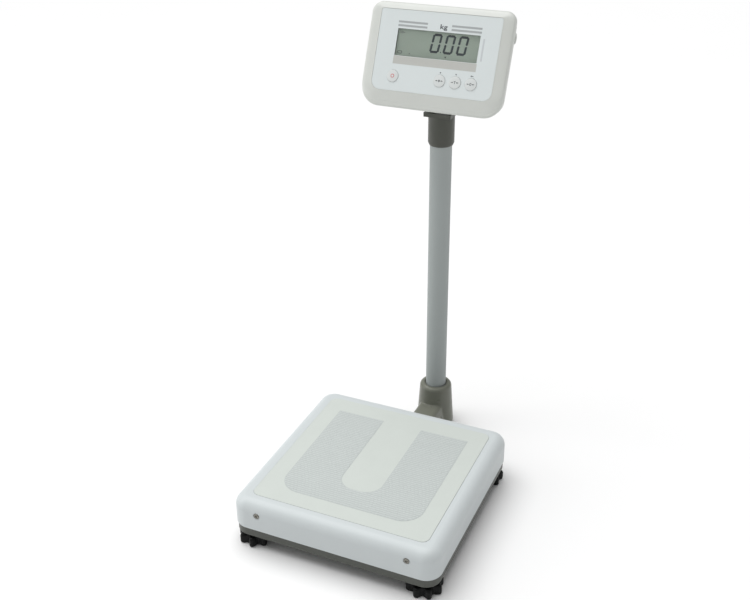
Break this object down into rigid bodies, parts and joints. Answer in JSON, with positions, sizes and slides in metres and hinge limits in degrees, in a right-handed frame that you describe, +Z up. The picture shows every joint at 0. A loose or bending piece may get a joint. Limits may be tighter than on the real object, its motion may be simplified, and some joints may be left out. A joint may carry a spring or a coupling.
{
  "type": "digital body scale",
  "caption": "Floor-standing body scale: square weighing platform on levelling feet, with a rear column that carries a tilting digital display head.",
  "frame": {"origin": "on the floor, under the middle of the whole scale's box", "axes": "+Z up; the user stands on the platform facing +Y, towards the column; +X is to the user's right"},
  "size_m": [0.3424, 0.4754, 0.7554],
  "materials": {
    "base_plastic": "warm grey moulding, fine satin grain",
    "plate_steel": "zinc-plated sheet",
    "cell_aluminium": "milled bar",
    "zinc_steel": "bright zinc",
    "cover_plastic": "white moulding, semi-gloss",
    "mat_rubber": "pale sheet with a raised dot pattern",
    "knob_plastic": "black moulding",
    "bracket_paint": "warm grey paint, semi-gloss",
    "tube_paint": "mid grey paint, semi-gloss",
    "collar_plastic": "dark grey moulding, satin",
    "bracket_steel": "dark grey paint",
    "head_plastic": "warm white moulding, satin",
    "panel_film": "printed film, satin",
    "clear_lens": "clear window",
    "display_glass": "grey-green liquid crystal display",
    "board_laminate": "green laminate",
    "key_plastic": "white key cap"
  },
  "bodies": {
    "base": {"base_tray": "base_plastic", "base_beam": "plate_steel", "lower_spacer": "plate_steel", "load_cell": "cell_aluminium", "upper_spacer": "plate_steel", "load_plate": "plate_steel", "lower_cell_bolt_1": "zinc_steel", "lower_cell_bolt_2": "zinc_steel", "upper_cell_bolt_1": "zinc_steel", "upper_cell_bolt_2": "zinc_steel", "overload_stop_front_left": "zinc_steel", "overload_stop_front_right": "zinc_steel", "overload_stop_rear_left": "zinc_steel", "overload_stop_rear_right": "zinc_steel", "platform_cover": "cover_plastic", "platform_mat": "mat_rubber", "cover_screw_front_left": "zinc_steel", "cover_screw_front_right": "zinc_steel", "cover_screw_rear_left": "zinc_steel", "cover_screw_rear_right": "zinc_steel", "column_bracket": "bracket_paint", "bracket_bolt_left": "zinc_steel", "bracket_bolt_right": "zinc_steel", "clamp_screw_1": "zinc_steel", "clamp_screw_2": "zinc_steel", "column_tube": "tube_paint", "column_collar": "collar_plastic", "collar_screw": "zinc_steel", "pivot_bolt": "zinc_steel", "pivot_nut": "zinc_steel"},
    "foot_front_left": {"foot_stud_front_left": "zinc_steel"},
    "foot_front_right": {"foot_stud_front_right": "zinc_steel"},
    "foot_rear_left": {"foot_stud_rear_left": "zinc_steel"},
    "foot_rear_right": {"foot_stud_rear_right": "zinc_steel"},
    "knob_front_left": {"foot_knob_front_left": "knob_plastic"},
    "knob_front_right": {"foot_knob_front_right": "knob_plastic"},
    "knob_rear_left": {"foot_knob_rear_left": "knob_plastic"},
    "knob_rear_right": {"foot_knob_rear_right": "knob_plastic"},
    "head": {"front_housing": "head_plastic", "rear_cover": "head_plastic", "panel_overlay": "panel_film", "display_lens": "clear_lens", "display_module": "display_glass", "circuit_board": "board_laminate", "power_inlet": "head_plastic", "rear_screw_top_left": "zinc_steel", "rear_screw_bottom_left": "zinc_steel", "rear_screw_top_right": "zinc_steel", "rear_screw_bottom_right": "zinc_steel", "tilt_bracket": "bracket_steel", "tilt_screw_low_left": "zinc_steel", "tilt_screw_high_left": "zinc_steel", "tilt_screw_low_right": "zinc_steel", "tilt_screw_high_right": "zinc_steel"},
    "key_power": {"power_key": "key_plastic"},
    "key_zero": {"zero_key": "key_plastic"},
    "key_tare": {"tare_key": "key_plastic"},
    "key_hold": {"hold_key": "key_plastic"}
  },
  "joints": [
    {"name": "foot_lift_front_left", "type": "slide", "parent": "base", "child": "foot_front_left", "axis": [0, 0, 1], "range_m": [-0.0042, 0.003]},
    {"name": "foot_lift_front_right", "type": "slide", "parent": "base", "child": "foot_front_right", "axis": [0, 0, 1], "range_m": [-0.0042, 0.003]},
    {"name": "foot_lift_rear_left", "type": "slide", "parent": "base", "child": "foot_rear_left", "axis": [0, 0, 1], "range_m": [-0.0042, 0.003]},
    {"name": "foot_lift_rear_right", "type": "slide", "parent": "base", "child": "foot_rear_right", "axis": [0, 0, 1], "range_m": [-0.0042, 0.003]},
    {"name": "knob_turn_front_left", "type": "hinge", "parent": "foot_front_left", "child": "knob_front_left", "pos_m": [-0.1422, -0.20877, 0.01], "axis": [0, 0, 1], "range_deg": [-1000, 715]},
    {"name": "knob_turn_front_right", "type": "hinge", "parent": "foot_front_right", "child": "knob_front_right", "pos_m": [0.1422, -0.20877, 0.01], "axis": [0, 0, 1], "range_deg": [-1000, 715]},
    {"name": "knob_turn_rear_left", "type": "hinge", "parent": "foot_rear_left", "child": "knob_rear_left", "pos_m": [-0.1422, 0.07563, 0.01], "axis": [0, 0, 1], "range_deg": [-1000, 715]},
    {"name": "knob_turn_rear_right", "type": "hinge", "parent": "foot_rear_right", "child": "knob_rear_right", "pos_m": [0.1422, 0.07563, 0.01], "axis": [0, 0, 1], "range_deg": [-1000, 715]},
    {"name": "head_tilt", "type": "hinge", "parent": "base", "child": "head", "pos_m": [0, 0.20843, 0.618], "axis": [1, 0, 0], "range_deg": [-20, 10]},
    {"name": "key_power_press", "type": "slide", "parent": "head", "child": "key_power", "axis": [0, 0.9171, -0.3987], "range_m": [0, 0.0008], "stiffness_N_per_m": 1500, "springref_m": -0.0005},
    {"name": "key_zero_press", "type": "slide", "parent": "head", "child": "key_zero", "axis": [0, 0.9171, -0.3987], "range_m": [0, 0.0008], "stiffness_N_per_m": 1500, "springref_m": -0.0005},
    {"name": "key_tare_press", "type": "slide", "parent": "head", "child": "key_tare", "axis": [0, 0.9171, -0.3987], "range_m": [0, 0.0008], "stiffness_N_per_m": 1500, "springref_m": -0.0005},
    {"name": "key_hold_press", "type": "slide", "parent": "head", "child": "key_hold", "axis": [0, 0.9171, -0.3987], "range_m": [0, 0.0008], "stiffness_N_per_m": 1500, "springref_m": -0.0005}
  ],
  "couplings": [
    {"joint": "foot_lift_front_left", "follows": "knob_turn_front_left", "m_per_rad": 0.00023873},
    {"joint": "foot_lift_front_right", "follows": "knob_turn_front_right", "m_per_rad": 0.00023873},
    {"joint": "foot_lift_rear_left", "follows": "knob_turn_rear_left", "m_per_rad": 0.00023873},
    {"joint": "foot_lift_rear_right", "follows": "knob_turn_rear_right", "m_per_rad": 0.00023873}
  ]
}
